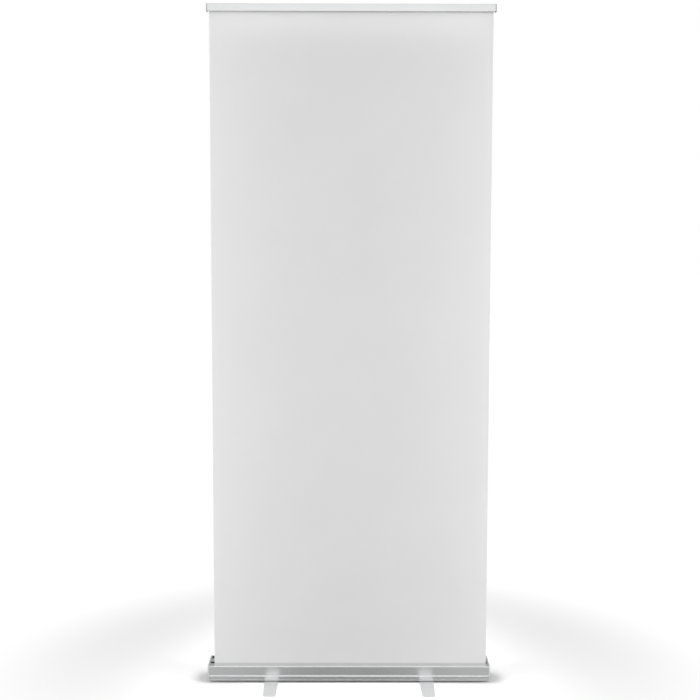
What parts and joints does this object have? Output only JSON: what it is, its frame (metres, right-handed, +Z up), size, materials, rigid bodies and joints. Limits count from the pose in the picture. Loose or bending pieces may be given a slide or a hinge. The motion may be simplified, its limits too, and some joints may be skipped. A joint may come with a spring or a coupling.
{
  "type": "roll-up banner stand",
  "caption": "Free-standing roll-up banner: a tall film drawn from a spring roller in an aluminium base to a clamp rail on a telescopic mast, with swivel feet.",
  "frame": {"origin": "on the floor, midway between the two foot pivots, at the centre of the bounding box's underside", "axes": "+Z up, +X to the right seen from the front, -Y the way the banner faces"},
  "size_m": [0.878, 0.32, 2.0772],
  "materials": {
    "anodised": "satin silver anodised, with fine lines along the extrusion",
    "silver_cap": "silver-grey moulding, fine grain",
    "film": "blank white matt film",
    "black_plastic": "moulded nylon, fine grain",
    "grey_plastic": "moulded acetal",
    "steel": "bright zinc plated",
    "rubber": "matt",
    "felt": "dense pile"
  },
  "bodies": {
    "base": {"base_housing": "anodised", "end_cap_left": "silver_cap", "end_cap_right": "silver_cap", "cap_screw_left_front": "steel", "cap_screw_left_rear": "steel", "cap_screw_right_front": "steel", "cap_screw_right_rear": "steel", "slot_wiper": "felt", "slot_felt": "felt", "roller_pin": "steel", "spring_arbor": "steel", "spring_anchor": "grey_plastic", "torsion_spring": "steel", "leader_film": "film", "mast_socket": "black_plastic", "socket_screw_left": "steel", "socket_screw_right": "steel", "mast_lower_plug": "black_plastic", "mast_lower_tube": "anodised", "foot_rivet_left": "steel", "foot_washer_left": "black_plastic", "foot_rivet_right": "steel", "foot_washer_right": "black_plastic"},
    "roller": {"roller_tube": "anodised", "roller_plug_left": "grey_plastic", "roller_plug_right": "grey_plastic", "film_winding": "film"},
    "mast_middle": {"mast_middle_tube": "anodised", "mast_middle_plug": "black_plastic"},
    "rail": {"mast_upper_tube": "anodised", "mast_upper_plug": "black_plastic", "mast_hook": "black_plastic", "rail_shell": "anodised", "rail_grip_back": "rubber", "rail_cap_left": "silver_cap", "rail_cap_right": "silver_cap", "banner_film": "film"},
    "jaw": {"rail_jaw": "anodised", "rail_grip_front": "rubber"},
    "collar_lower": {"lock_collar_lower": "black_plastic"},
    "collar_upper": {"lock_collar_upper": "black_plastic"},
    "foot_left": {"foot_left": "anodised", "foot_pad_left_front": "rubber", "foot_pad_left_rear": "rubber"},
    "foot_right": {"foot_right": "anodised", "foot_pad_right_front": "rubber", "foot_pad_right_rear": "rubber"}
  },
  "joints": [
    {"name": "rail_travel", "type": "slide", "parent": "base", "child": "rail", "axis": [0, 0, 1], "range_m": [-1.22, 0], "deforming": ["banner_film"]},
    {"name": "mast_middle_slide", "type": "slide", "parent": "base", "child": "mast_middle", "axis": [0, 0, 1], "range_m": [-0.61, 0]},
    {"name": "roller_spin", "type": "hinge", "parent": "base", "child": "roller", "pos_m": [0, -0.0178, 0.0302], "axis": [1, 0, 0], "range_deg": [-4545, 0], "stiffness_Nm_per_rad": 0.0012, "springref_deg": -14323.94},
    {"name": "collar_lower_twist", "type": "hinge", "parent": "base", "child": "collar_lower", "pos_m": [0, 0.02, 0.736], "axis": [0, 0, 1], "range_deg": [0, 60]},
    {"name": "collar_upper_twist", "type": "hinge", "parent": "mast_middle", "child": "collar_upper", "pos_m": [0, 0.02, 1.394], "axis": [0, 0, 1], "range_deg": [0, 60]},
    {"name": "jaw_open", "type": "hinge", "parent": "rail", "child": "jaw", "pos_m": [0.004, -0.0146, 2.0736], "axis": [-1, 0, 0], "range_deg": [0, 70]},
    {"name": "foot_left_swivel", "type": "hinge", "parent": "base", "child": "foot_left", "pos_m": [-0.2415, 0, 0.005], "axis": [0, 0, 1], "range_deg": [0, 90]},
    {"name": "foot_right_swivel", "type": "hinge", "parent": "base", "child": "foot_right", "pos_m": [0.2415, 0, 0.005], "axis": [0, 0, 1], "range_deg": [-90, 0]}
  ],
  "couplings": [
    {"joint": "mast_middle_slide", "follows": "rail_travel", "ratio": 0.5},
    {"joint": "roller_spin", "follows": "rail_travel", "rad_per_m": 65}
  ]
}
